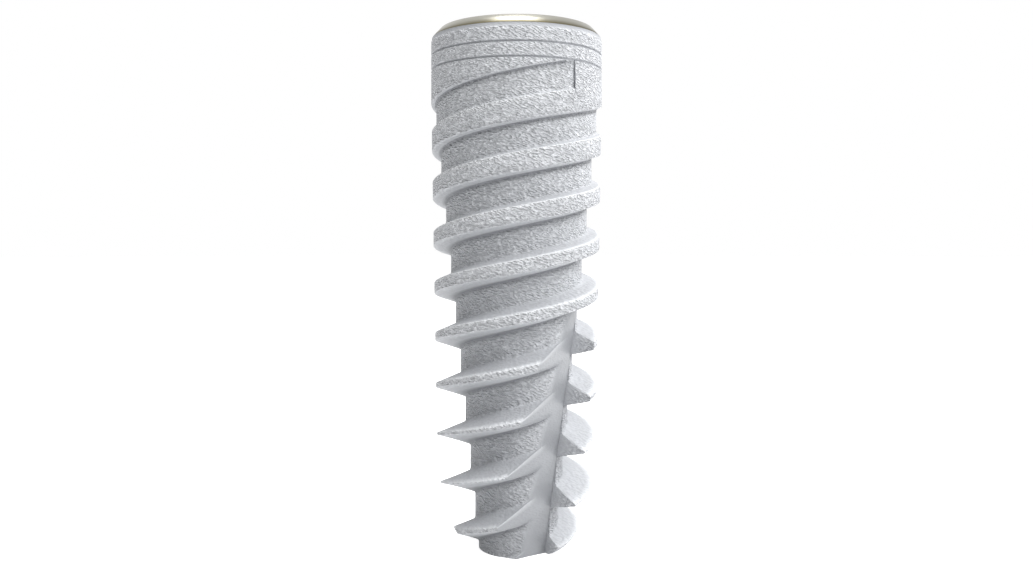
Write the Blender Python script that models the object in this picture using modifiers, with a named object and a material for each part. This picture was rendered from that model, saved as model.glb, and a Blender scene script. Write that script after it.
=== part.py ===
"""Dental implant fixture, turned from one titanium bar, in metres, +Z up.

The origin is on the axis in the plane of the flat apex. A double-start thread with a tapering core
runs from the collar to the apex, and two flutes cut across its lower half. The socket and the screw
bore open at the platform.
"""

import math

import bmesh
import bpy

MM = 0.001

# Body
BODY_DIAMETER = 3.8 * MM
BODY_LENGTH = 11.5 * MM
APEX_DIAMETER = 1.68 * MM
NOSE_SHOULDER_DIAMETER = 3.55 * MM
NOSE_HEIGHT = 2.35 * MM

# Collar
PLATFORM_DIAMETER = 3.4 * MM
BEVEL_DIAMETER = 3.76 * MM
BEVEL_HEIGHT = 0.2 * MM
BAND_HEIGHT = 0.08 * MM
BAND_DEPTH = 0.01 * MM
RING_DROPS = (0.59 * MM, 0.905 * MM)
RING_WIDTH = 0.06 * MM
RING_DEPTH = 0.03 * MM

# Thread, with heights measured on the upper edge of the groove's floor
THREAD_STARTS = 2
THREAD_PITCH = 1.0705 * MM
THREAD_START_DROP = 0.95 * MM
THREAD_START_DEPTH = 0.04 * MM
THREAD_START_AZIMUTH = math.radians(-49.8)
RUN_IN_RISE = 0.06 * MM
RUN_IN_ANGLE = math.radians(110.0)
CORE_LAND_HEIGHT = 0.4 * MM
FLOOR_WIDTH = 0.545 * MM
FLOOR_WIDENING = 0.006 * MM
LOWER_FLANK_ANGLE = math.radians(15.0)
UPPER_FLANK_ANGLE = math.radians(20.0)

# Cutting flutes
FLUTE_COUNT = 2
FLUTE_LENGTH = 5.3 * MM
FLUTE_APEX_DEPTH = 0.08 * MM
FLUTE_END_DEPTH = 0.02 * MM
FLUTE_WALL_OFFSET = 0.255 * MM
FLUTE_APEX_AZIMUTH = math.radians(-57.0)
FLUTE_TURN = math.radians(6.1) / MM
FLUTE_END_SLOPE = math.tan(math.radians(13.6))

# Socket and screw bore
LEAD_IN_DIAMETER = 3.0 * MM
LEAD_IN_DEPTH = 0.1 * MM
HEX_ACROSS_FLATS = 2.42 * MM
HEX_DEPTH = 1.6 * MM
BORE_DIAMETER = 1.6 * MM
BORE_CHAMFER = 0.15 * MM
BORE_DEPTH = 5.2 * MM
DRILL_POINT_ANGLE = math.radians(118.0)

# Mesh
SEGMENTS = 56
NOSE_ROWS = 8
FLUTE_ROWS = 16
CLEAR = 0.5 * MM
MERGE_DISTANCE = 1e-7

# Worked out from the values above
PITCH_ANGLE = 2 * math.pi / THREAD_STARTS
STEP_ANGLE = 2 * math.pi / SEGMENTS
BODY_RADIUS = BODY_DIAMETER / 2
APEX_RADIUS = APEX_DIAMETER / 2
THREAD_START_HEIGHT = BODY_LENGTH - THREAD_START_DROP
HEX_CORNER_RADIUS = HEX_ACROSS_FLATS / 2 / math.cos(math.pi / 6)


def groove_top(angle):
    """Height of the groove floor's upper edge, at this angle down the helix from its start."""
    return THREAD_START_HEIGHT - THREAD_PITCH * angle / PITCH_ANGLE


def groove_foot(angle):
    """Height of the groove floor's lower edge: the floor widens steadily towards the apex."""
    return groove_top(angle) - FLOOR_WIDTH - FLOOR_WIDENING * angle / PITCH_ANGLE


def run_in(angle):
    """How far the upper edge rises at its start, where the cut runs in from the lower ring groove."""
    return RUN_IN_RISE * max(1 - angle / RUN_IN_ANGLE, 0) ** 2


def core_radius(height):
    """Radius of the groove's floor where its upper edge is at this height: a straight taper to the apex."""
    share = (height - CORE_LAND_HEIGHT) / (THREAD_START_HEIGHT - CORE_LAND_HEIGHT)
    start_radius = BODY_RADIUS - THREAD_START_DEPTH
    return APEX_RADIUS + (start_radius - APEX_RADIUS) * max(share, 0)


def nose_radius(height):
    """Radius of the rounded nose: a quarter of an ellipse between the apex and the shoulder."""
    width = NOSE_SHOULDER_DIAMETER / 2 - APEX_RADIUS
    return APEX_RADIUS + width * math.sqrt(1 - ((NOSE_HEIGHT - height) / NOSE_HEIGHT) ** 2)


def ring_outline(drop):
    """The three points of one shallow ring groove in the collar, this far below the platform."""
    height = BODY_LENGTH - drop
    return [
        (BODY_RADIUS, height + RING_WIDTH / 2),
        (BODY_RADIUS - RING_DEPTH, height),
        (BODY_RADIUS, height - RING_WIDTH / 2),
    ]


def bore_outline():
    """The bore from its drilled end up to the lead-in at the platform, as (radius, height)."""
    bore_radius = BORE_DIAMETER / 2
    bore_end = BODY_LENGTH - BORE_DEPTH
    drill_point = bore_radius / math.tan(DRILL_POINT_ANGLE / 2)
    socket_floor = BODY_LENGTH - HEX_DEPTH
    socket_radius = HEX_ACROSS_FLATS / 2
    return [
        (0, bore_end - drill_point),
        (bore_radius, bore_end),
        (bore_radius, socket_floor - BORE_CHAMFER),
        (bore_radius + BORE_CHAMFER, socket_floor),
        (socket_radius, socket_floor),
        (socket_radius, BODY_LENGTH - LEAD_IN_DEPTH - (LEAD_IN_DIAMETER / 2 - socket_radius)),
        (LEAD_IN_DIAMETER / 2, BODY_LENGTH - LEAD_IN_DEPTH),
        (LEAD_IN_DIAMETER / 2, BODY_LENGTH),
    ]


def blank_outline():
    """The whole turned section, from the end of the bore over the platform and down to the apex."""
    band_top = BODY_LENGTH - BEVEL_HEIGHT
    band_foot = band_top - BAND_HEIGHT
    outline = bore_outline()
    outline.append((PLATFORM_DIAMETER / 2, BODY_LENGTH))
    outline.append((BEVEL_DIAMETER / 2, band_top))
    outline.append((BODY_RADIUS - BAND_DEPTH, band_foot))
    outline.append((BODY_RADIUS, band_foot - BAND_DEPTH))
    for drop in RING_DROPS:
        outline += ring_outline(drop)
    outline.append((BODY_RADIUS, THREAD_START_HEIGHT - FLOOR_WIDTH))
    for row in range(NOSE_ROWS + 1):
        turn = math.pi / 2 * row / NOSE_ROWS
        height = NOSE_HEIGHT * (1 - math.sin(turn))
        outline.append((nose_radius(height), height))
    outline.append((0, 0))
    return outline


def new_object(name, mesh, collection, parent):
    thing = bpy.data.objects.new(name, mesh)
    collection.objects.link(thing)
    thing.parent = parent
    return thing


def turned(name, outline, collection, parent):
    """A body of revolution: the outline turned round Z by a Screw modifier."""
    mesh = bpy.data.meshes.new(name)
    points = [(radius, 0, height) for radius, height in outline]
    mesh.from_pydata(points, [(i, i + 1) for i in range(len(points) - 1)], [])
    thing = new_object(name, mesh, collection, parent)
    screw = thing.modifiers.new("Turn", "SCREW")
    screw.axis = "Z"
    screw.angle = 2 * math.pi
    screw.steps = SEGMENTS
    screw.render_steps = SEGMENTS
    screw.use_merge_vertices = True
    screw.merge_threshold = MERGE_DISTANCE
    screw.use_smooth_shade = True
    return thing


def lofted(name, sections, collection, parent):
    """A closed body through sections of four points each, with its two end faces."""
    shape = bmesh.new()
    rings = [[shape.verts.new(point) for point in section] for section in sections]
    for above, below in zip(rings, rings[1:]):
        for i in range(4):
            j = (i + 1) % 4
            shape.faces.new((above[i], below[i], below[j], above[j]))
    shape.faces.new(rings[0])
    shape.faces.new(reversed(rings[-1]))
    bmesh.ops.triangulate(shape, faces=shape.faces)
    bmesh.ops.recalc_face_normals(shape, faces=shape.faces)
    mesh = bpy.data.meshes.new(name)
    shape.to_mesh(mesh)
    shape.free()
    return new_object(name, mesh, collection, parent)


def groove_section(angle):
    """The groove's cut at one angle down the helix: its floor, then its flanks out past the body."""
    top = groove_top(angle) + run_in(angle)
    foot = groove_foot(angle)
    radius = core_radius(groove_top(angle))
    outside = BODY_RADIUS + CLEAR
    reach = outside - radius
    corners = [
        (radius, top),
        (radius, foot),
        (outside, foot - reach * math.tan(UPPER_FLANK_ANGLE)),
        (outside, top + reach * math.tan(LOWER_FLANK_ANGLE)),
    ]
    return [(r * math.cos(angle), -r * math.sin(angle), height) for r, height in corners]


def groove_cutter(number, collection, parent):
    """One start of the thread, cut from its upper end until it has left the apex."""
    end_angle = PITCH_ANGLE * (THREAD_START_HEIGHT + CLEAR) / THREAD_PITCH
    steps = math.ceil(end_angle / STEP_ANGLE)
    sections = [groove_section(STEP_ANGLE * i) for i in range(steps + 1)]
    cutter = lofted(f"thread_groove_{number + 1}", sections, collection, parent)
    cutter.rotation_euler.z = PITCH_ANGLE * number
    return cutter


def flute_section(height):
    """The flute's L at one height: a wall beside the axis and a floor just below the thread's core."""
    groove_middle = height + FLOOR_WIDTH / 2
    depth = FLUTE_APEX_DEPTH + (FLUTE_END_DEPTH - FLUTE_APEX_DEPTH) * height / FLUTE_LENGTH
    floor = core_radius(groove_middle) - depth
    turn = FLUTE_TURN * height
    across = BODY_DIAMETER + CLEAR
    corners = [
        (floor, FLUTE_WALL_OFFSET),
        (floor, FLUTE_WALL_OFFSET - across),
        (floor + across, FLUTE_WALL_OFFSET - across),
        (floor + across, FLUTE_WALL_OFFSET),
    ]
    section = []
    for out, side in corners:
        x = out * math.cos(turn) - side * math.sin(turn)
        y = out * math.sin(turn) + side * math.cos(turn)
        section.append((x, y, height + (side - FLUTE_WALL_OFFSET) * FLUTE_END_SLOPE))
    return section


def flute_cutter(number, collection, parent):
    """One flute, which turns a little round the axis on its way up from below the apex."""
    foot = -CLEAR
    heights = [foot + (FLUTE_LENGTH - foot) * i / FLUTE_ROWS for i in range(FLUTE_ROWS + 1)]
    sections = [flute_section(height) for height in heights]
    cutter = lofted(f"flute_{number + 1}", sections, collection, parent)
    cutter.rotation_euler.z = (
        FLUTE_APEX_AZIMUTH - THREAD_START_AZIMUTH + 2 * math.pi * number / FLUTE_COUNT
    )
    return cutter


def socket_cutter(collection, parent):
    """The hexagon socket, cut from above the platform down to the socket's floor."""
    mesh = bpy.data.meshes.new("hexagon_socket")
    shape = bmesh.new()
    depth = HEX_DEPTH + CLEAR
    bmesh.ops.create_cone(
        shape, cap_ends=True, segments=6, depth=depth,
        radius1=HEX_CORNER_RADIUS, radius2=HEX_CORNER_RADIUS,
    )
    shape.to_mesh(mesh)
    shape.free()
    cutter = new_object("hexagon_socket", mesh, collection, parent)
    cutter.location.z = BODY_LENGTH - HEX_DEPTH + depth / 2
    return cutter


def cut(thing, cutter):
    cutter.hide_render = True
    cutter.display_type = "WIRE"
    boolean = thing.modifiers.new(cutter.name, "BOOLEAN")
    boolean.operation = "DIFFERENCE"
    boolean.solver = "EXACT"
    boolean.object = cutter


def blasted_titanium():
    """Grit-blasted and etched titanium: matt, pale neutral grey metal."""
    material = bpy.data.materials.new("blasted_titanium")
    material.use_nodes = True
    shader = material.node_tree.nodes["Principled BSDF"]
    shader.inputs["Base Color"].default_value = (0.5, 0.5, 0.51, 1)
    shader.inputs["Metallic"].default_value = 1.0
    shader.inputs["Roughness"].default_value = 0.5
    return material


def new_collection(name):
    collection = bpy.data.collections.new(name)
    bpy.context.scene.collection.children.link(collection)
    return collection


def main():
    for thing in list(bpy.data.objects):
        bpy.data.objects.remove(thing, do_unlink=True)
    parts = new_collection("dental_implant")
    cutters = new_collection("cutters")

    axis = new_object("fixture_axis", None, parts, None)
    axis.rotation_euler.z = THREAD_START_AZIMUTH

    fixture = turned("implant_fixture", blank_outline(), parts, axis)
    # Half a step puts the facets' edges between the sections of the thread.
    fixture.rotation_euler.z = STEP_ANGLE / 2
    fixture.data.materials.append(blasted_titanium())
    cut(fixture, socket_cutter(cutters, axis))
    for number in range(THREAD_STARTS):
        cut(fixture, groove_cutter(number, cutters, axis))
    for number in range(FLUTE_COUNT):
        cut(fixture, flute_cutter(number, cutters, axis))


main()
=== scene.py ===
"""The looks of a dental implant: one blasted and etched titanium fixture on a pale studio floor.

The fixture is one closed surface. Its columns are rays that start on a small circle round the axis, as
far out as a flute's wall is, so that the wall lies along one column. Its rows follow the thread's helix,
so that every edge of the thread lies along a row. Both halves of the fixture have the same outside, half
a turn apart.
"""

import math

import bmesh
import bpy
import numpy as np
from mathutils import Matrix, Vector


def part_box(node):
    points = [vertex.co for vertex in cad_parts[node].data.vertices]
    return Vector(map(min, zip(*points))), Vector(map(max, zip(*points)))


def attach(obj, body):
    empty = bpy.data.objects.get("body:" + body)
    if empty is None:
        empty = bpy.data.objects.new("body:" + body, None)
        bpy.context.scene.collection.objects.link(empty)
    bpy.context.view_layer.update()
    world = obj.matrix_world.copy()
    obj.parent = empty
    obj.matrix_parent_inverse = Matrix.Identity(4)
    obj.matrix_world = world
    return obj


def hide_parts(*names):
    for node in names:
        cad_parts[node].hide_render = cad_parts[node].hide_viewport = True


bl_info = {
    "name": "Dental implant",
    "version": (1, 0, 0),
    "blender": (4, 5, 0),
    "location": "View3D > Sidebar > Implant",
    "description": "Builds a threaded titanium implant and its studio",
    "category": "Add Mesh",
}

MM = 0.001
NODE = "implant_fixture"

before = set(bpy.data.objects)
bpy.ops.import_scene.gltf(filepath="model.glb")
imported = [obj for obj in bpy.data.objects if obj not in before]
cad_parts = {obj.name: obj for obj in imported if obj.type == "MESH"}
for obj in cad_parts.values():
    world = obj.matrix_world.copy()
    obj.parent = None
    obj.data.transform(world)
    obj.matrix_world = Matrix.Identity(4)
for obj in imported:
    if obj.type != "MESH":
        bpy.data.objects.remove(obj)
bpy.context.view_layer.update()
FRAME_LOW, FRAME_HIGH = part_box(NODE)
FRAME_LENGTH = FRAME_HIGH[2] - FRAME_LOW[2]

HALF_TURN = math.pi
FULL_TURN = 2 * math.pi

# Columns of half a turn: close together after the thread's start, and again from the flute's wall on
FINE_SPAN = math.radians(46)
FINE_COLUMNS = 48
PLAIN_COLUMNS = 50
WALL_COLUMNS = 36
CORNER = math.radians(0.5)

# Rows, as shares of the way across a flank, a floor or a land, and the greatest share of a rounding
FLANK_ROWS = (0.35, 0.65)
LONG_FLANK_ROWS = (0.25, 0.5, 0.75)
FLOOR_ROWS = (0.2, 0.35, 0.5, 0.65, 0.8)
LAND_ROWS = (0.3, 0.5, 0.7)
MOST_ROUNDING = 0.3

# The helix's last line, by which every column has reached the apex
LAST_LINE = 11

# Rounds of halving that find a tooth's edge, and of substitution that find a point on the helix
HALVINGS = 26
ROUNDS = 6

MERGE_DISTANCE = 1e-7
SHARP_ANGLE = math.radians(50)

# How far the rounding of the platform's rim reaches
RIM_ROUNDING = 0.012 * MM

# A flute's floor: its climb out of the body over its upper end, the least cosine at which a ray still
# meets it, and how far to the side it is followed
FLUTE_CLIMB = 4
LEAST_FACING = 0.1
FARTHEST_SIDE = 2 * MM

# The internal thread's profile, as shares of its pitch and of its depth
INTERNAL_PROFILE = ((0.06, 0), (0.44, 1), (0.56, 1), (0.94, 0))

# How rough the blasting left each part of the thread
LAND_BLAST = 1.0
EDGE_BLAST = 0.4
FLANK_BLAST = 0.2
UPPER_FLANK_BLAST = 0.22
CUT_FACE_BLAST = 0.15
LEAST_BLAST = 0.12
# Marks the rows of the groove's floor, whose blast falls by a step with each line down to a least value
FLOOR_BLAST = -1
FLOOR_BLAST_START, FLOOR_BLAST_STEP, FLOOR_BLAST_LEAST = 0.95, 0.06, 0.7

# Painted light of each part of the thread: up to 1 for a painted highlight on an edge, down to -1 for
# painted shade in a crease
EDGE_HIGHLIGHT = 1
LAND_HIGHLIGHT = 0.8
LOWER_FLANK_SHADE = -0.1
FILLET_SHADE = -0.9
FLOOR_CORNER_SHADE = -0.8
# Painted shade: the floor gets darker by a step with each line, down to this line
FLOOR_SHADE_STEP, FLOOR_SHADE_LINES = -0.045, 8
PAINTED_CREASE_SHADE = -1

# How far from a flute the blasting thins out, how far a tooth stands over the core where the painted
# highlight on its edge is full, and how much of that painted edge highlight is left along a flute
THINNING = 0.07 * MM
FULL_STANDING = 0.06 * MM
HIGHLIGHT_ALONG_FLUTE = 0.4

# Finishes of the apex and of the end walls of the thread's starts, which get painted shade in the crease
# colour
APEX_FINISH = (0.5, 0, 0)
END_WALL_FINISH = (0.3, 0, PAINTED_CREASE_SHADE)

# Slots of the fixture's mesh, and the collar's row of faces that has the line of painted dark reflection
BLASTED, MACHINED, DARK_REFLECTION_SLOT = range(3)
DARK_REFLECTION_ROW = 3

# A noise has about one ridge in this many of its cells
CELLS_IN_RIDGE = 1.7

# Turning leaves a ring every 0.02 mm or so. They are drawn wider apart, so that they show.
TURNING_RING = 0.05 * MM

# Each lamp's name, its azimuth to the right of the camera and its elevation in degrees, and its watts
LAMPS = (
    ("key", 70, 35, 0.054),
    ("right_rim", 130, 35, 0.052),
    ("front", 30, 38, 0.031),
    ("left_upper", -40, 60, 0.016),
    ("overhead", 0, 88, 0.045),
)
LAMP_SIZE = 40 * MM
LAMP_DISTANCE = 90 * MM
# Only this lamp shows in reflections, so that the bevel mirrors one white patch
MIRRORED_LAMP = "overhead"

# The studio's floor. Only the camera and reflections see its glow.
FLOOR_RADIUS = 400 * MM
FLOOR_CORNERS = 96
FLOOR_COLOUR = "#dcdcdc"
FLOOR_GLOW = 0.9

# The world's strength as the camera and reflections see it, and as diffuse light
WORLD_SEEN = 1.0
WORLD_LIGHT = 0.07

SENSOR_WIDTH = 36


def length(name, text, millimetres):
    """A property that holds a length, whose default is given in millimetres."""
    return bpy.props.FloatProperty(
        name=name, description=text, default=millimetres * MM, unit="LENGTH", precision=5
    )


def turn(name, text, degrees):
    """A property that holds an angle, whose default is given in degrees."""
    return bpy.props.FloatProperty(
        name=name, description=text, default=math.radians(degrees), subtype="ANGLE"
    )


def linear(code):
    """A colour written as sRGB in hex, turned to linear light: a channel c goes to c / 12.92 where it is
    dark, and else to ((c + 0.055) / 1.055) ^ 2.4."""
    channels = np.array([int(code[i:i + 2], 16) for i in (1, 3, 5)]) / 255
    return np.where(channels <= 0.04045, channels / 12.92, ((channels + 0.055) / 1.055) ** 2.4)


def colour(name, text, code):
    """A property that holds a colour, whose default is given in hex."""
    return bpy.props.FloatVectorProperty(
        name=name, description=text, default=tuple(linear(code)), subtype="COLOR", min=0, max=1
    )


class ImplantBody(bpy.types.PropertyGroup):
    """Sizes of the uncut body and its collar."""

    overall: bpy.props.FloatProperty(
        name="Length", description="From the apex to the platform", default=FRAME_LENGTH, unit="LENGTH"
    )
    width: length("Diameter", "Across the collar", 3.8)
    apex: length("Apex diameter", "Across the flat end of the nose", 1.68)
    shoulder: length("Shoulder diameter", "Across the nose where its rounding ends", 3.55)
    nose: length("Nose height", "From the apex to the nose's shoulder", 2.35)
    platform: length("Platform diameter", "Across the flat top, to the bevel", 3.4)
    bevel: length("Bevel diameter", "Across the machined bevel's lower edge", 3.76)
    bevel_height: length("Bevel height", "From the platform down to the bevel's lower edge", 0.2)
    band_height: length("Band height", "Height of the smooth band under the bevel", 0.08)
    band_depth: length("Band depth", "How far the smooth band lies under the collar's surface", 0.01)
    upper_ring: length("Upper ring", "From the platform down to the upper ring groove", 0.59)
    lower_ring: length("Lower ring", "From the platform down to the lower ring groove", 0.905)
    ring_width: length("Ring width", "Width of a ring groove", 0.06)
    ring_depth: length("Ring depth", "Depth of a ring groove", 0.03)


class ImplantThread(bpy.types.PropertyGroup):
    """Sizes of the outer thread, which has two starts."""

    pitch: length("Pitch", "From one tooth to the next", 1.0705)
    start_drop: length("Start drop", "From the platform down to the thread's start", 0.95)
    start_depth: length("Start depth", "Depth of the groove where it starts", 0.04)
    start: turn("Start", "Direction of the thread's start, anticlockwise from +X", -49.8)
    rise: length("Run-in", "How much higher the groove's upper edge is at its start", 0.06)
    rise_turn: turn("Run-in angle", "Over which the upper edge comes down", 110)
    core_land: length("Core land", "Height over the apex where the core's taper ends", 0.4)
    floor: length("Floor width", "Width of the groove's floor at its start", 0.545)
    floor_growth: length("Floor growth", "How much wider the floor gets with each tooth", 0.006)
    lower_flank: turn("Lower flank", "Slope of a tooth's side that faces the apex", 15)
    upper_flank: turn("Upper flank", "Slope of a tooth's side that faces the platform", 20)
    least_land: length("Least land", "Width of the sharpest tooth's edge", 0.018)
    edge: length("Edge rounding", "How far the rounding of a tooth's edge reaches", 0.012)
    fillet: length("Fillet", "How far the rounding at the groove's floor reaches", 0.03)


class ImplantFlute(bpy.types.PropertyGroup):
    """Sizes of the two cutting flutes."""

    reach: length("Length", "From the apex to the flute's upper end", 5.3)
    apex_depth: length("Depth at the apex", "Depth under the thread's core at the apex", 0.08)
    end_depth: length("Depth at the end", "Depth under the thread's core at the upper end", 0.02)
    offset: length("Wall offset", "From the axis to the plane of the flute's wall", 0.255)
    start: turn("Direction", "Direction of the flute at the apex, anticlockwise from +X", -57)
    twist: turn("Turn", "How far the flute turns over its length", 32.33)
    end_slope: turn("End slope", "Slope of the flute's sections, along the thread", 13.6)


class ImplantSocket(bpy.types.PropertyGroup):
    """Sizes of the hexagon socket and the threaded screw bore."""

    lead_in: length("Lead-in diameter", "Across the mouth of the socket", 3.0)
    lead_in_depth: length("Lead-in depth", "Depth of the mouth's straight wall", 0.1)
    flats: length("Across flats", "Width of the hexagon", 2.42)
    depth: length("Socket depth", "From the platform to the socket's floor", 1.6)
    bore: length("Bore diameter", "Inner diameter of the internal thread", 1.6)
    chamfer: length("Bore chamfer", "Width of the chamfer at the bore's mouth", 0.15)
    bore_depth: length("Bore depth", "From the platform to the end of the bore's wall", 5.2)
    thread_pitch: length("Internal pitch", "Pitch of the internal thread", 0.4)
    thread_depth: length("Internal thread depth", "Depth of the internal thread", 0.18)
    thread_end: length("Internal thread end", "From the platform down to the thread's end", 4.7)
    drill_point: turn("Drill point", "Angle of the cone at the end of the bore", 118)


class ImplantFinish(bpy.types.PropertyGroup):
    """Colours of the fixture's finishes, of its painted highlight, shade and dark reflection, and the size
    of the blasted relief.
    """

    blasted: colour("Blasted titanium", "Ridges of the grit-blasted and etched surface", "#dddfe3")
    # Painted shade: the darker colour of the relief's valleys
    shaded_valley: colour("Valleys", "Between the ridges of the blasted surface", "#c3c5c9")
    etched: colour("Etched titanium", "Flanks, which the blasting hardly reached", "#bec0c4")
    milled: colour("Milled titanium", "Floor of the flutes", "#96989c")
    # Painted highlight: the pale colour that the teeth's edges are lightened towards
    painted_highlight: colour("Worn edges", "Edges of the teeth", "#dfe1e4")
    # Painted shade: the dark colour of the grooves' upper corners, the rings, the lower floors, the end
    # walls and the flute's corner
    painted_shade: colour("Creases", "Dark oxide left in the grooves' upper corners and the rings", "#7e8085")
    ridge: length("Ridge spacing", "Across the ridges of the relief, from one to the next", 0.056)
    stretch: bpy.props.FloatProperty(
        name="Ridge stretch", description="How many times as long as wide the ridges are", default=2.5
    )
    lean: turn("Ridge lean", "How steeply the ridges run down, to the right as the camera sees them", 18)
    relief: length("Relief", "How deep the bump's pattern is", 0.13)
    machined: colour("Machined titanium", "Turned bevel, platform and socket", "#aaa89f")
    # Painted dark reflection: the olive colour of the line at the bevel's lower edge, which the bevel
    # darkens towards
    bevel_dark_reflection: colour("Edge line", "Tarnished line at the bevel's lower edge", "#6f6a56")


class ImplantStudio(bpy.types.PropertyGroup):
    """The camera and the light."""

    distance: length("Camera distance", "From the camera to the fixture's axis", 21.43)
    height: length("Camera height", "From the floor up to the camera", 6.84)
    frame_width: bpy.props.IntProperty(
        name="Frame width", description="Width of the photograph", default=1033, subtype="PIXEL"
    )
    focal: bpy.props.IntProperty(
        name="Focal length", description="Focal length on the photograph", default=958, subtype="PIXEL"
    )
    horizon: bpy.props.FloatProperty(
        name="Horizon", description="How far the horizon lies over the frame's centre",
        default=50.2, subtype="PIXEL",
    )


def mix(a, b, share):
    """a and b blended in a straight line: a + (b - a) * share."""
    return a + (b - a) * share


def start_height(body, thread):
    return body.overall - thread.start_drop


def core_radius(body, thread, height):
    """The core's radius where the floor's upper edge is at this height: it grows in a straight line from
    the apex's radius, at the top of the core land, to the body's radius less the start's depth."""
    top = start_height(body, thread)
    share = (height - thread.core_land) / (top - thread.core_land)
    return mix(body.apex / 2, body.width / 2 - thread.start_depth, np.clip(share, 0, 1))


def groove_line(body, thread, angle):
    """Height of the groove at this angle down its helix: it falls by one pitch in half a turn."""
    return start_height(body, thread) - thread.pitch * angle / HALF_TURN


def floor_height(body, thread, angle, across):
    """Height on the groove's floor, from its upper edge (across 0) to its lower edge (across 1).
    The upper edge is raised by rise * (1 - angle / rise_turn)^2 over the run-in, and the floor's width
    grows with the angle."""
    run_in = thread.rise * np.maximum(1 - angle / thread.rise_turn, 0) ** 2
    width = thread.floor + thread.floor_growth * angle / HALF_TURN
    line = groove_line(body, thread, angle)
    return mix(line + run_in, line - width, across)


def outline_radius(body, thread, height):
    """Radius of the uncut body: a quarter of an ellipse up to the nose's shoulder, then a straight line
    out to the collar's radius, which it has from the thread's start upwards."""
    fall = 1 - np.clip(height / body.nose, 0, 1)
    nose = mix(body.apex / 2, body.shoulder / 2, np.sqrt(1 - fall**2))
    collar_foot = start_height(body, thread) - thread.floor
    side = np.interp(height, (body.nose, collar_foot), (body.shoulder / 2, body.width / 2))
    return np.where(height < body.nose, nose, side)


def ray_direction(body, thread, flute, column, height):
    """Direction of a column's ray at a height. Column angles run clockwise from the thread's start, and
    up to the flutes' ends all columns turn with the flutes."""
    first = thread.start - math.asin(flute.offset / (body.width / 2))
    lean = flute.twist * (np.clip(height / flute.reach, 0, 1) - 1)
    return first - column + lean


def helix_angle(body, thread, flute, column, line, radius, height):
    """How far down its helix a point lies. The point is on its column's ray, so its direction from the
    axis is the ray's direction plus arcsin(offset / radius), and each line is half a turn further."""
    direction = ray_direction(body, thread, flute, column, height) + np.arcsin(flute.offset / radius)
    return thread.start - direction + HALF_TURN * line


def floor_point(body, thread, flute, column, line, across):
    """Radius and height on the groove's floor, by repeated substitution, because the helix's angle
    depends on both."""
    radius = np.full(np.broadcast(column, line).shape, body.width / 2)
    height = np.zeros_like(radius)
    for _ in range(ROUNDS):
        angle = helix_angle(body, thread, flute, column, line, radius, height)
        radius = core_radius(body, thread, groove_line(body, thread, angle))
        height = floor_height(body, thread, angle, across)
    return radius, height


def flank_point(body, thread, flute, column, line, radius, upper):
    """Height on a flank at a radius, and the greatest radius that the tooth may have there. A flank
    leaves the edge of the floor and climbs or falls by the tangent of its slope times the way out. The
    tooth ends where the flanks on both its sides are the least land apart."""
    up, down = math.tan(thread.upper_flank), math.tan(thread.lower_flank)
    height = np.zeros(np.broadcast(column, line, radius).shape)
    for _ in range(ROUNDS):
        angle = helix_angle(body, thread, flute, column, line, radius, height)
        core = core_radius(body, thread, groove_line(body, thread, angle))
        slope = -up if upper else down
        height = floor_height(body, thread, angle, 1 if upper else 0) + (radius - core) * slope
    above = angle if upper else angle - HALF_TURN
    line_above = groove_line(body, thread, above)
    line_below = groove_line(body, thread, above + HALF_TURN)
    rise = (
        floor_height(body, thread, above, 1) + core_radius(body, thread, line_above) * up
        - line_below + core_radius(body, thread, line_below) * down
    )
    return height, (rise - thread.least_land) / (up + down)


def flute_radius(body, thread, flute, past_wall, height):
    """Radius where a ray meets the flute's floor. In the flute's own section the floor is a line square
    to the flute's direction, so the ray meets it at (floor - offset * sin b) / cos b, where b is the
    angle from the flute's direction to the ray. The sections lean along the thread. Over its upper end the
    floor climbs steeply out of the body."""
    section = height * np.ones_like(past_wall)
    for _ in range(ROUNDS):
        share = section / flute.reach
        bearing = past_wall + flute.twist * (share - np.clip(height / flute.reach, 0, 1))
        climb = FLUTE_CLIMB * np.maximum(section - flute.reach, 0)
        depth = mix(flute.apex_depth, flute.end_depth, share) - climb
        floor = core_radius(body, thread, section + thread.floor / 2) - depth
        facing = np.maximum(np.cos(bearing), LEAST_FACING)
        way = (floor - flute.offset * np.sin(bearing)) / facing
        side = flute.offset * np.cos(bearing) - way * np.sin(bearing)
        side = np.clip(side, -FARTHEST_SIDE, FARTHEST_SIDE)
        section = height - (side - flute.offset) * math.tan(flute.end_slope)
    far = body.width
    return np.where(np.cos(bearing) > LEAST_FACING, np.hypot(way, flute.offset), far)


def surface_radius(body, thread, flute, past_wall, height):
    """Radius of the body with its flutes, before the thread is cut: the lesser of the two."""
    outline = outline_radius(body, thread, height)
    return np.minimum(outline, flute_radius(body, thread, flute, past_wall, height))


def tooth_edge(body, thread, flute, column, past_wall, line, upper):
    """Radius and height where a flank ends, found by halving: on the flank, the last radius that is
    inside the fluted body and inside the tooth's own limit."""
    low, _ = floor_point(body, thread, flute, column, line, 1 if upper else 0)
    high = np.full_like(low, body.width / 2)
    for _ in range(HALVINGS):
        middle = (low + high) / 2
        height, limit = flank_point(body, thread, flute, column, line, middle, upper)
        inside = middle < np.minimum(surface_radius(body, thread, flute, past_wall, height), limit)
        low = np.where(inside, middle, low)
        high = np.where(inside, high, middle)
    return low, flank_point(body, thread, flute, column, line, low, upper)[0]


def end_at(radius, height, limit):
    """Ends falling paths at a height. Each step down a column is taken whole, in part or not at all, so
    the row that would pass the limit stops on it and later rows stay there. A step that doesn't fall is
    taken whole above the limit, and not at all below it."""
    step = np.diff(height, axis=0)
    step = np.where(step < 0, step, -1e-12)
    share = np.clip((limit - height[:-1]) / step, 0, 1)
    ended = []
    for path in (radius, height):
        moved = np.concatenate((path[:1], share * np.diff(path, axis=0)))
        ended.append(np.cumsum(moved, axis=0))
    return ended


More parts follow.
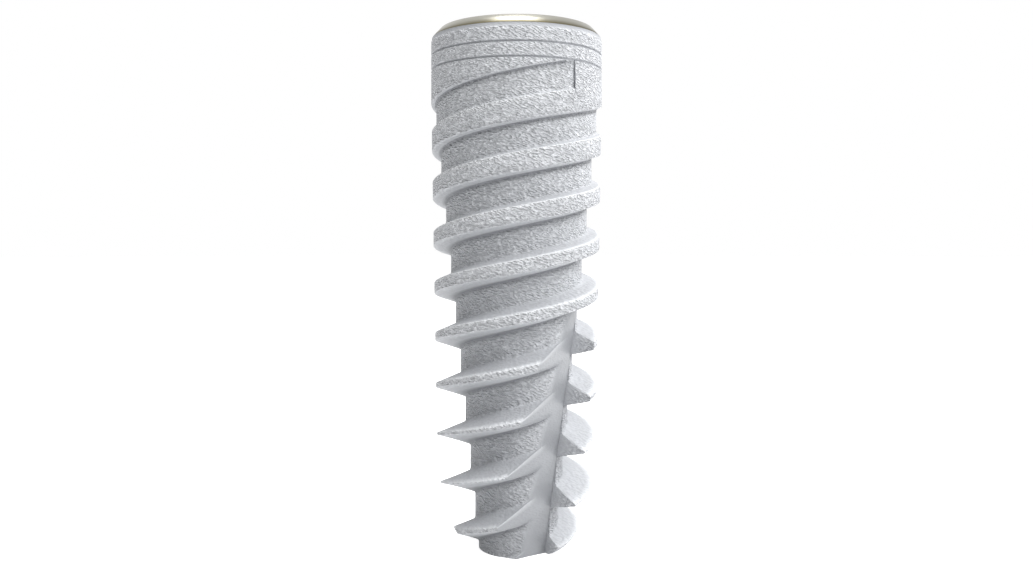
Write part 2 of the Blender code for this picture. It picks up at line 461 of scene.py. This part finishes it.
def column_angles(body, thread, flute):
    """The columns of half a turn, as angles from the thread's start, and their angles past a flute's wall.
    The wall has two columns at one angle: the first on the tooth's side, the second on the flute's."""
    first = thread.start - math.asin(flute.offset / (body.width / 2))
    wall = (first - flute.start - flute.twist) % HALF_TURN
    fine = np.linspace(0, FINE_SPAN, FINE_COLUMNS, endpoint=False)
    plain = np.linspace(FINE_SPAN, wall, PLAIN_COLUMNS)
    last = np.concatenate(
        ([wall, wall + CORNER], np.linspace(wall + 2 * CORNER, HALF_TURN, WALL_COLUMNS - 2))
    )
    before = np.concatenate((fine, plain))
    return np.concatenate((before, last)), np.concatenate((before - wall + HALF_TURN, last - wall))


def collar_rows(body):
    """Radius, height, blast and painted shade of the collar's rows, from the rim down to the lower ring
    groove's foot. On the bevel the blast is instead how much painted dark reflection it has. The rim is
    rounded by about 0.01 mm, the bevel's painted dark reflection begins 0.03 mm from its lower edge, and
    painted shade lies under the bevel and in the ring grooves."""
    top, radius = body.overall, body.width / 2
    band = top - body.bevel_height
    rows = [
        (body.platform / 2 - RIM_ROUNDING, top, 0, 0),
        (body.platform / 2 + 0.006 * MM, top - 0.008 * MM, 0, 0),
        (mix(body.platform, body.bevel, 0.5) / 2, top - body.bevel_height / 2, 0.25, 0),
        (body.bevel / 2 - 0.03 * MM, band + 0.034 * MM, 0.9, 0),
        (body.bevel / 2, band - 0.004 * MM, 0.1, -0.7),
        (radius - body.band_depth, band - body.band_height, 0.1, -0.3),
        (radius, band - body.band_height - body.band_depth, 0.8, 0),
    ]
    for drop in (body.upper_ring, body.lower_ring):
        middle = top - drop
        above = rows[-1][1]
        for share in (0.33, 0.67):
            rows.append((radius, mix(above, middle + body.ring_width / 2, share), 1, 0))
        rows.append((radius, middle + body.ring_width / 2, 0.8, 0))
        rows.append((radius - body.ring_depth, middle + body.ring_width * 0.15, 0.2, -0.6))
        rows.append((radius - body.ring_depth, middle - body.ring_width * 0.15, 0.2, -0.6))
        rows.append((radius, middle - body.ring_width / 2, 0.8, 0))
    return np.array(rows).T


def thread_rows(body, thread, flute, column, past_wall):
    """Radius, height and finish of the thread's rows, how many rows a line has before its land, and the
    radius at the collar's foot. For each line of the helix, from the top: the tooth's lower flank, the
    groove's floor, the next tooth's upper flank, and that tooth's land. The first line lies over the
    thread's start and isn't cut, so that both halves of the collar have the same rows."""
    line = np.arange(-1, LAST_LINE + 1)[:, None]
    here = (body, thread, flute, column)
    core, top = floor_point(*here, line, 0)
    foot_core, foot = floor_point(*here, line, 1)
    lower_edge, lower_height = tooth_edge(*here, past_wall, line, False)
    upper_edge, upper_height = tooth_edge(*here, past_wall, line, True)

    def share_of(reach, whole):
        return np.clip(reach / np.maximum(whole, 1e-9), 0, MOST_ROUNDING)

    rows = []

    def flank(shares, upper, blast, edge=0):
        near, far = (foot_core, upper_edge) if upper else (core, lower_edge)
        for share in shares:
            radius = mix(near, far, share)
            rows.append((radius, flank_point(*here, line, radius, upper)[0], blast, edge))

    depth = lower_edge - core
    flank([1 - share_of(thread.edge, depth)], False, EDGE_BLAST)
    flank(reversed(FLANK_ROWS), False, FLANK_BLAST, LOWER_FLANK_SHADE)
    flank([share_of(thread.fillet, depth)], False, FLANK_BLAST, FILLET_SHADE)
    rounding = share_of(thread.fillet, top - foot)
    for across in (rounding, *FLOOR_ROWS, 1 - rounding):
        shade = FLOOR_CORNER_SHADE if across is rounding else 0
        rows.append((*floor_point(*here, line, across), FLOOR_BLAST, shade))
    depth = upper_edge - foot_core
    flank([share_of(thread.fillet, depth)], True, FLANK_BLAST)
    flank(LONG_FLANK_ROWS, True, UPPER_FLANK_BLAST)
    flank([1 - share_of(thread.edge, depth)], True, EDGE_BLAST, EDGE_HIGHLIGHT)

    collar_foot = body.overall - body.lower_ring - body.ring_width / 2
    run_out = np.where(top[1] > collar_foot, core[1], body.width / 2)
    radius = np.stack([row[0] for row in rows], axis=1)
    height = np.stack([row[1] for row in rows], axis=1)
    radius[0] = body.width / 2
    radius = np.where(height > collar_foot, run_out, radius)
    height = np.minimum(height, collar_foot)

    # A land follows the fluted body, as far inside it as its tooth's two edges are.
    whole = (body, thread, flute, past_wall)
    land_top = np.clip(upper_height[:-1], 0, collar_foot)
    land_foot = np.clip(lower_height[1:], 0, collar_foot)
    inset_top = surface_radius(*whole, upper_height[:-1]) - upper_edge[:-1]
    inset_foot = surface_radius(*whole, lower_height[1:]) - lower_edge[1:]
    rounding = share_of(thread.edge, land_top - land_foot)
    lands = []
    for share in (rounding, *LAND_ROWS, 1 - rounding):
        land_height = mix(land_top, land_foot, share)
        land_radius = surface_radius(*whole, land_height) - mix(inset_top, inset_foot, share)
        lands.append((np.where(land_height < collar_foot, land_radius, run_out), land_height))
    radius = np.concatenate((radius[:-1], np.stack([land[0] for land in lands], axis=1)), axis=1)
    height = np.concatenate((height[:-1], np.stack([land[1] for land in lands], axis=1)), axis=1)
    # The blasting reaches less of a groove the deeper it is, and painted shade darkens each floor by a
    # step for each line further down. Nothing over the thread's start is cut.
    number = line[:-1, :, None]
    blast = np.array([row[2] for row in rows] + [LAND_BLAST] * len(lands))[None, :, None]
    edge = np.array([row[3] for row in rows] + [LAND_HIGHLIGHT] + [0.0] * (len(lands) - 1))[None, :, None]
    floor = blast == FLOOR_BLAST
    dimmed = FLOOR_SHADE_STEP * np.clip(number, 0, FLOOR_SHADE_LINES)
    thinned = np.clip(FLOOR_BLAST_START - FLOOR_BLAST_STEP * number, FLOOR_BLAST_LEAST, 1)
    edge = np.where(floor, np.minimum(edge, dimmed), edge)
    blast = np.where(floor, thinned, blast)
    uncut = number < 0
    blast, edge = np.where(uncut, 1, blast), np.where(uncut, 0, edge)

    # The blasting thins out towards a flute. A tooth's painted edge highlight goes on along the flute as
    # far as the tooth stands over the core.
    cut = flute_radius(body, thread, flute, past_wall, height)
    milled = np.clip(1 - (cut - radius) / THINNING, 0, 1)
    standing = np.clip((cut - core_radius(body, thread, height)) / FULL_STANDING, 0, 1)
    edge = edge * mix(1, HIGHLIGHT_ALONG_FLUTE * standing, milled)
    blast = np.maximum(blast * (1 - milled), LEAST_BLAST)

    # The foot of the flute's wall belongs to the teeth's cut faces, and a line of painted shade runs next
    # to it.
    from_wall = np.arange(len(column)) - (len(column) - WALL_COLUMNS)
    wall_foot = (from_wall == 0) & (cut < radius)
    milled, blast = np.where(wall_foot, 0, milled), np.where(wall_foot, CUT_FACE_BLAST, blast)
    edge = np.where((from_wall == 1) & (cut < radius), PAINTED_CREASE_SHADE, edge)
    finish = np.stack((blast, milled, edge), axis=-1)
    radius = np.minimum(radius, cut)
    shape = (-1, len(column))
    return radius.reshape(shape), height.reshape(shape), finish.reshape(*shape, 3), len(rows), run_out


def on_rays(body, thread, flute, column, radius, height):
    """Points at these radii and heights on the columns' rays. A ray starts at offset * n and runs along d,
    where d is its direction and n is square to it, so the way along it is sqrt(radius^2 - offset^2)."""
    direction = ray_direction(body, thread, flute, column, height)
    way = np.sqrt(np.maximum(radius**2 - flute.offset**2, 0))
    x = way * np.cos(direction) - flute.offset * np.sin(direction)
    y = way * np.sin(direction) + flute.offset * np.cos(direction)
    return np.stack((x, y, height), axis=-1)


def hexagon_radius(thread, socket, direction):
    """Radius of the hexagon in a direction: half the width across flats over the cosine of the angle to
    the nearest flat's middle."""
    sixth = FULL_TURN / 6
    from_flat = (direction - thread.start + sixth / 2) % sixth - sixth / 2
    return socket.flats / 2 / np.cos(from_flat)


def internal_thread(body, socket, column):
    """Radius and height of the internal thread's rows, from the top down: a V with narrow lands, one pitch
    for each full turn, cut off flat at both ends."""
    top = body.overall - socket.depth - socket.chamfer
    foot = body.overall - socket.thread_end
    turns = np.arange(-1, math.ceil((top - foot) / socket.thread_pitch) + 1)
    share, cut = np.array(INTERNAL_PROFILE).T
    along = (turns[:, None] + share).reshape(-1, 1) + column / FULL_TURN
    height = top - socket.thread_pitch * along
    depth = socket.thread_depth * np.tile(cut, len(turns))[:, None]
    radius = socket.bore / 2 + depth * np.ones_like(column)
    radius, height = end_at(radius, height, foot)
    flipped, fallen = end_at(radius[::-1], -height[::-1], -top)
    return flipped[::-1], -fallen[::-1]


def socket_points(body, thread, flute, socket, column):
    """Points of the socket and the bore, from the platform's rim down to the drill point, turned about the
    axis in the directions that the columns have at the rim. The mouth's edge and the hexagon's top are
    rounded by about 0.01 mm."""
    rim = math.asin(flute.offset / (body.platform / 2 - RIM_ROUNDING))
    direction = ray_direction(body, thread, flute, column, body.overall) + rim
    hexagon = hexagon_radius(thread, socket, direction)
    top = body.overall
    mouth = top - socket.lead_in_depth
    floor = top - socket.depth
    bore = socket.bore / 2
    bore_end = top - socket.bore_depth
    cone = mouth - (socket.lead_in / 2 - hexagon)
    above = [
        (socket.lead_in / 2 + 0.01 * MM, top),
        (socket.lead_in / 2, top - 0.01 * MM),
        (socket.lead_in / 2, mouth),
        (hexagon + 0.006 * MM, cone + 0.004 * MM),
        (hexagon, cone - 0.006 * MM),
        (hexagon, mix(cone, floor, 0.5)),
        (hexagon, floor),
        (bore + socket.chamfer, floor),
        (bore, floor - socket.chamfer),
    ]
    below = [
        (bore, top - socket.thread_end),
        (bore, bore_end),
        (0, bore_end - bore / math.tan(socket.drill_point / 2)),
    ]
    thread_radius, thread_height = internal_thread(body, socket, column)
    ones = np.ones((1, len(column)))
    radius, height = (
        np.concatenate((
            *(row[part] * ones for row in above), threaded, *(row[part] * ones for row in below)
        ))
        for part, threaded in enumerate((thread_radius, thread_height))
    )
    return np.stack((radius * np.cos(direction), radius * np.sin(direction), height), axis=-1)


def grid_faces(rows, columns, first=0):
    """Corner numbers of the quads of a grid whose points are numbered row by row."""
    corner = first + np.arange(rows - 1)[:, None] * columns + np.arange(columns - 1)
    corner = corner.reshape(-1, 1)
    return corner + np.array((0, columns, columns + 1, 1))


def half_turned(points):
    """The points half a turn round the axis: x and y change sign."""
    return points * np.array((-1, -1, 1))


def fixture_mesh(body, thread, flute, socket):
    """The whole surface: two half grids and the two end walls of the thread's starts. Each point's finish
    is how rough the blasting left it, or on the bevel how much painted dark reflection it has, then
    whether a flute's cut made it, then its painted light, which is 1 for a painted highlight on an edge
    and -1 for painted shade in a crease."""
    column, past_wall = column_angles(body, thread, flute)
    collar_radius, collar_height, collar_blast_and_reflection, collar_shade = collar_rows(body)
    radius, height, finish, per_line, run_out = thread_rows(body, thread, flute, column, past_wall)
    radius, height = end_at(radius, height, 0)
    ones = np.ones(len(column))
    collar_radius = collar_radius[:, None] * ones
    collar_radius[-1] = run_out
    radius = np.concatenate((collar_radius, radius, flute.offset * ones[None], 0 * ones[None]))
    height = np.concatenate((collar_height[:, None] * ones, height, np.zeros((2, len(column)))))
    collar_finish = np.stack((collar_blast_and_reflection, 0 * collar_shade, collar_shade), axis=-1)
    collar_finish = collar_finish[:, None] * ones[:, None]
    finish = np.concatenate((collar_finish, finish, np.full((2, len(column), 3), APEX_FINISH)))
    outside = on_rays(body, thread, flute, column, radius, height)
    outside[-1] = 0

    points, faces, finishes, slots = [], [], [], []
    count = 0
    for half in range(2):
        skin = half_turned(outside) if half else outside
        inner = socket_points(body, thread, flute, socket, column + HALF_TURN * half)[::-1]
        sheet = np.concatenate((inner, skin))
        quads = grid_faces(len(sheet), len(column), count)
        row = np.repeat(np.arange(len(sheet) - 1), len(column) - 1) - len(inner)
        points.append(sheet.reshape(-1, 3))
        faces.append(quads)
        finishes.append(np.concatenate((np.zeros(inner.shape), finish)).reshape(-1, 3))
        below_bevel = np.where(row == DARK_REFLECTION_ROW, DARK_REFLECTION_SLOT, BLASTED)
        slots.append(np.where(row < DARK_REFLECTION_ROW, MACHINED, below_bevel))
        count += sheet.shape[0] * sheet.shape[1]

    # The end wall of each start lies between the uncut rows of one half and the first groove's rows of the
    # other. It begins on the lower ring groove and ends on the land under the groove, where both meet.
    collar = len(collar_height)
    per_turn = per_line + 2 + len(LAND_ROWS)
    uncut = outside[collar - 2:collar + per_line + 1, -1]
    cut_rows = np.r_[collar - 2, collar - 1, collar + per_turn:collar + per_turn + per_line + 1]
    for half in range(2):
        one = half_turned(uncut) if half else uncut
        other = outside[cut_rows, 0] if half else half_turned(outside[cut_rows, 0])
        wall = np.stack((one, other), axis=1)
        points.append(wall.reshape(-1, 3))
        faces.append(grid_faces(len(wall), 2, count))
        finishes.append(np.full((len(wall) * 2, 3), END_WALL_FINISH))
        slots.append(np.full(len(wall) - 1, BLASTED))
        count += len(wall) * 2

    mesh = bpy.data.meshes.new("fixture")
    mesh.from_pydata(np.concatenate(points).tolist(), [], np.concatenate(faces).tolist())
    mesh.polygons.foreach_set("material_index", np.concatenate(slots).astype(np.int32))
    field = mesh.attributes.new("finish", "FLOAT_VECTOR", "POINT")
    field.data.foreach_set("vector", np.concatenate(finishes).astype(np.float32).ravel())
    return mesh


def weld(mesh):
    """Merges the points that coincide, drops the faces that this leaves flat, and turns all faces out."""
    shape = bmesh.new()
    shape.from_mesh(mesh)
    bmesh.ops.remove_doubles(shape, verts=shape.verts, dist=MERGE_DISTANCE)
    bmesh.ops.dissolve_degenerate(shape, edges=shape.edges, dist=MERGE_DISTANCE)
    bmesh.ops.recalc_face_normals(shape, faces=shape.faces)
    shape.to_mesh(mesh)
    shape.free()
    mesh.shade_smooth()
    mesh.set_sharp_from_angle(angle=SHARP_ANGLE)


def add_node(owner, kind, settings=None, **links):
    """Adds a node to a material or the world, sets its properties and inputs from settings, and links its
    inputs by name."""
    tree = owner.node_tree
    node = tree.nodes.new(kind)
    for key, value in (settings or {}).items():
        if key in node.inputs:
            node.inputs[key].default_value = value
        else:
            setattr(node, key, value)
    for key, source in links.items():
        tree.links.new(source, node.inputs[key.replace("_", " ")])
    return node


def blend(material, low, high, share):
    """The output of a node that mixes two colours, each of them a colour or another node's output."""
    node = add_node(material, "ShaderNodeMix", {"data_type": "RGBA"})
    # The node has sockets of the same names for numbers and vectors, so the factor, the two colours and
    # the result are taken by their places.
    for socket, value in ((node.inputs[6], low), (node.inputs[7], high)):
        if isinstance(value, bpy.types.NodeSocket):
            material.node_tree.links.new(value, socket)
        else:
            socket.default_value = (*value, 1)
    material.node_tree.links.new(share, node.inputs[0])
    return node.outputs[2]


def new_material(name):
    """A new material with nodes, and its main shader."""
    material = bpy.data.materials.new(name)
    material.use_nodes = True
    return material, material.node_tree.nodes["Principled BSDF"]


def etched_titanium(finish):
    """Titanium alloy, grit-blasted and acid-etched: a matt, pale grey metal with a fine crinkled relief,
    whose valleys get painted shade. The milled flutes are smoother and darker, the teeth's edges get a
    painted highlight, and creases painted shade."""
    material, shader = new_material("etched_titanium")
    links = material.node_tree.links
    place = add_node(material, "ShaderNodeTexCoord")
    field = add_node(material, "ShaderNodeAttribute", {"attribute_name": "finish"})
    parts = add_node(material, "ShaderNodeSeparateXYZ", Vector=field.outputs["Vector"])
    # The third part is painted light: above 0 a painted highlight on the teeth's edges, below 0 painted
    # shade
    blast, milled, edge = parts.outputs

    # The mapping turns and stretches the noise itself, so that its ridges are long and lean.
    stretch = (finish.stretch, finish.stretch, 1)
    stretched = add_node(
        material, "ShaderNodeMapping",
        {"vector_type": "TEXTURE", "Rotation": (0, finish.lean, 0), "Scale": stretch},
        Vector=place.outputs["Object"],
    )
    crinkle = add_node(
        material, "ShaderNodeTexNoise",
        {"Scale": CELLS_IN_RIDGE / finish.ridge, "Detail": 0, "Distortion": 0.4},
        Vector=stretched.outputs["Vector"],
    )
    bump = add_node(
        material, "ShaderNodeBump", {"Distance": finish.relief},
        Height=crinkle.outputs["Fac"], Strength=blast,
    )
    links.new(bump.outputs["Normal"], shader.inputs["Normal"])

    # The relief's valleys get painted shade, darker where the noise is low
    height = add_node(
        material, "ShaderNodeMapRange", {"From Min": 0.35, "From Max": 0.65}, Value=crinkle.outputs["Fac"]
    )
    shaded_valleys = blend(material, finish.shaded_valley, finish.blasted, height.outputs["Result"])
    rough = blend(material, finish.etched, shaded_valleys, blast)
    cut = blend(material, rough, finish.milled, milled)
    # Painted shade darkens the creases, grooves and lower floors, and a painted highlight lightens the
    # teeth's edges
    painted_shade = add_node(material, "ShaderNodeMapRange", {"From Min": 0, "From Max": -1}, Value=edge)
    dark = blend(material, cut, finish.painted_shade, painted_shade.outputs["Result"])
    links.new(blend(material, dark, finish.painted_highlight, edge), shader.inputs["Base Color"])
    # The etched surface scatters nearly all its light, so little of a metal's reflection is left.
    shader.inputs["Metallic"].default_value = 0.15
    smooth = add_node(material, "ShaderNodeMapRange", {"To Min": 0.6, "To Max": 0.42}, Value=milled)
    links.new(smooth.outputs["Result"], shader.inputs["Roughness"])
    return material


def machined_titanium(finish):
    """Titanium alloy as turned: a warm grey satin metal with fine rings from the tool, with a painted dark
    reflection that grows towards the bevel's lower edge."""
    material, shader = new_material("machined_titanium")
    links = material.node_tree.links
    place = add_node(material, "ShaderNodeTexCoord")
    field = add_node(material, "ShaderNodeAttribute", {"attribute_name": "finish"})
    parts = add_node(material, "ShaderNodeSeparateXYZ", Vector=field.outputs["Vector"])
    reflection_darkened = blend(material, finish.machined, finish.bevel_dark_reflection, parts.outputs["X"])
    links.new(reflection_darkened, shader.inputs["Base Color"])

    # The noise is stretched ten times round the body, which makes rings of it.
    squeezed = add_node(
        material, "ShaderNodeMapping", {"Scale": (0.1, 0.1, 1)}, Vector=place.outputs["Object"]
    )
    rings = add_node(
        material, "ShaderNodeTexNoise", {"Scale": CELLS_IN_RIDGE / TURNING_RING, "Detail": 1},
        Vector=squeezed.outputs["Vector"],
    )
    bump = add_node(
        material, "ShaderNodeBump", {"Strength": 0.25, "Distance": 0.01 * MM}, Height=rings.outputs["Fac"]
    )
    links.new(bump.outputs["Normal"], shader.inputs["Normal"])
    shader.inputs["Metallic"].default_value = 1
    shader.inputs["Roughness"].default_value = 0.3
    return material


def painted_reflection_titanium(finish):
    """Titanium alloy in a dark olive colour: a painted dark reflection in a thin line at the bevel's lower
    edge.
    """
    material, shader = new_material("painted_reflection_titanium")
    shader.inputs["Base Color"].default_value = (*finish.bevel_dark_reflection, 1)
    shader.inputs["Metallic"].default_value = 1
    shader.inputs["Roughness"].default_value = 0.4
    return material


class IMPLANT_OT_fixture(bpy.types.Operator):
    """Builds the titanium fixture in one piece"""

    bl_idname = "implant.fixture"
    bl_label = "Build fixture"

    def execute(self, context):
        scene = context.scene
        mesh = fixture_mesh(
            scene.implant_body, scene.implant_thread, scene.implant_flute, scene.implant_socket
        )
        weld(mesh)
        for make in (etched_titanium, machined_titanium, painted_reflection_titanium):
            mesh.materials.append(make(scene.implant_finish))
        fixture = bpy.data.objects.new("titanium_fixture", mesh)
        scene.collection.objects.link(fixture)
        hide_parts(NODE)
        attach(fixture, "root")
        return {"FINISHED"}


def area_light(scene, name, azimuth, elevation, power, height):
    """A square soft light that faces the axis at this height. Its azimuth is in degrees to the right of
    the camera, and its elevation in degrees over the horizontal."""
    lamp = bpy.data.lights.new(name, "AREA")
    lamp.size = LAMP_SIZE
    lamp.energy = power
    thing = bpy.data.objects.new(name, lamp)
    scene.collection.objects.link(thing)
    around, up = math.radians(azimuth), math.radians(elevation)
    out = LAMP_DISTANCE * math.cos(up)
    thing.location = (
        out * math.sin(around), -out * math.cos(around), height + LAMP_DISTANCE * math.sin(up)
    )
    thing.rotation_euler = (HALF_TURN / 2 - up, 0, around)
    thing.visible_glossy = name == MIRRORED_LAMP


def seen_directly(owner):
    """An output that is 1 on the rays of the camera, of reflections and of clear materials, and else 0."""
    rays = add_node(owner, "ShaderNodeLightPath")
    seen = rays.outputs["Is Camera Ray"]
    for kind in ("Is Glossy Ray", "Is Transmission Ray"):
        # Both inputs of the node have the same name, so they are linked by their places.
        either = add_node(owner, "ShaderNodeMath", {"operation": "MAXIMUM"})
        owner.node_tree.links.new(seen, either.inputs[0])
        owner.node_tree.links.new(rays.outputs[kind], either.inputs[1])
        seen = either.outputs["Value"]
    return seen


def studio_floor(scene):
    """A round floor that the camera sees as white, and that keeps the fixture's soft shadow."""
    around = np.linspace(0, FULL_TURN, FLOOR_CORNERS, endpoint=False)
    rim = FLOOR_RADIUS * np.stack((np.cos(around), np.sin(around), 0 * around), axis=-1)
    mesh = bpy.data.meshes.new("studio_floor")
    mesh.from_pydata(rim.tolist(), [], [list(range(len(rim)))])
    floor = bpy.data.objects.new("studio_floor", mesh)
    scene.collection.objects.link(floor)
    material, shader = new_material("studio_floor")
    shader.inputs["Base Color"].default_value = (*linear(FLOOR_COLOUR), 1)
    shader.inputs["Roughness"].default_value = 0.9
    shader.inputs["Emission Color"].default_value = (1, 1, 1, 1)
    glow = add_node(
        material, "ShaderNodeMapRange", {"To Min": 0, "To Max": FLOOR_GLOW}, Value=seen_directly(material)
    )
    material.node_tree.links.new(glow.outputs["Result"], shader.inputs["Emission Strength"])
    mesh.materials.append(material)


def studio_world(scene):
    """A white world for the camera and for reflections, and a plain grey one for diffuse light."""
    world = bpy.data.worlds.new("studio")
    world.use_nodes = True
    background = world.node_tree.nodes["Background"]
    background.inputs["Color"].default_value = (1, 1, 1, 1)
    level = add_node(
        world, "ShaderNodeMapRange", {"To Min": WORLD_LIGHT, "To Max": WORLD_SEEN},
        Value=seen_directly(world),
    )
    world.node_tree.links.new(level.outputs["Result"], background.inputs["Strength"])
    scene.world = world


class IMPLANT_OT_stage(bpy.types.Operator):
    """Sets up the floor, the world, the lights and the camera"""

    bl_idname = "implant.stage"
    bl_label = "Set up studio"

    def execute(self, context):
        scene = context.scene
        studio = scene.implant_studio
        studio_floor(scene)
        studio_world(scene)
        for name, azimuth, elevation, power in LAMPS:
            area_light(scene, name, azimuth, elevation, power, scene.implant_body.overall / 2)
        scene.view_settings.view_transform = "Standard"

        lens = bpy.data.cameras.new("camera")
        lens.sensor_width = SENSOR_WIDTH
        lens.lens = SENSOR_WIDTH * studio.focal / studio.frame_width
        lens.shift_y = -studio.horizon / studio.frame_width
        lens.clip_start = 0.5 * MM
        camera = bpy.data.objects.new("camera", lens)
        camera.location = (0, -studio.distance, studio.height)
        camera.rotation_euler = (HALF_TURN / 2, 0, 0)
        scene.collection.objects.link(camera)
        scene.camera = camera
        return {"FINISHED"}


class IMPLANT_PT_panel(bpy.types.Panel):
    """Lists the steps that build the implant"""

    bl_label = "Implant"
    bl_idname = "IMPLANT_PT_panel"
    bl_space_type = "VIEW_3D"
    bl_region_type = "UI"
    bl_category = "Implant"

    def draw(self, context):
        for operator in OPERATORS:
            self.layout.operator(operator.bl_idname)


GROUPS = {
    "implant_body": ImplantBody,
    "implant_thread": ImplantThread,
    "implant_flute": ImplantFlute,
    "implant_socket": ImplantSocket,
    "implant_finish": ImplantFinish,
    "implant_studio": ImplantStudio,
}
OPERATORS = (IMPLANT_OT_fixture, IMPLANT_OT_stage)


def register():
    for name, group in GROUPS.items():
        bpy.utils.register_class(group)
        setattr(bpy.types.Scene, name, bpy.props.PointerProperty(type=group))
    for cls in (*OPERATORS, IMPLANT_PT_panel):
        bpy.utils.register_class(cls)


def unregister():
    for cls in reversed((*OPERATORS, IMPLANT_PT_panel)):
        bpy.utils.unregister_class(cls)
    for name, group in reversed(GROUPS.items()):
        delattr(bpy.types.Scene, name)
        bpy.utils.unregister_class(group)


def main():
    register()
    bpy.ops.implant.stage()
    bpy.ops.implant.fixture()


if __name__ == "__main__":
    main()
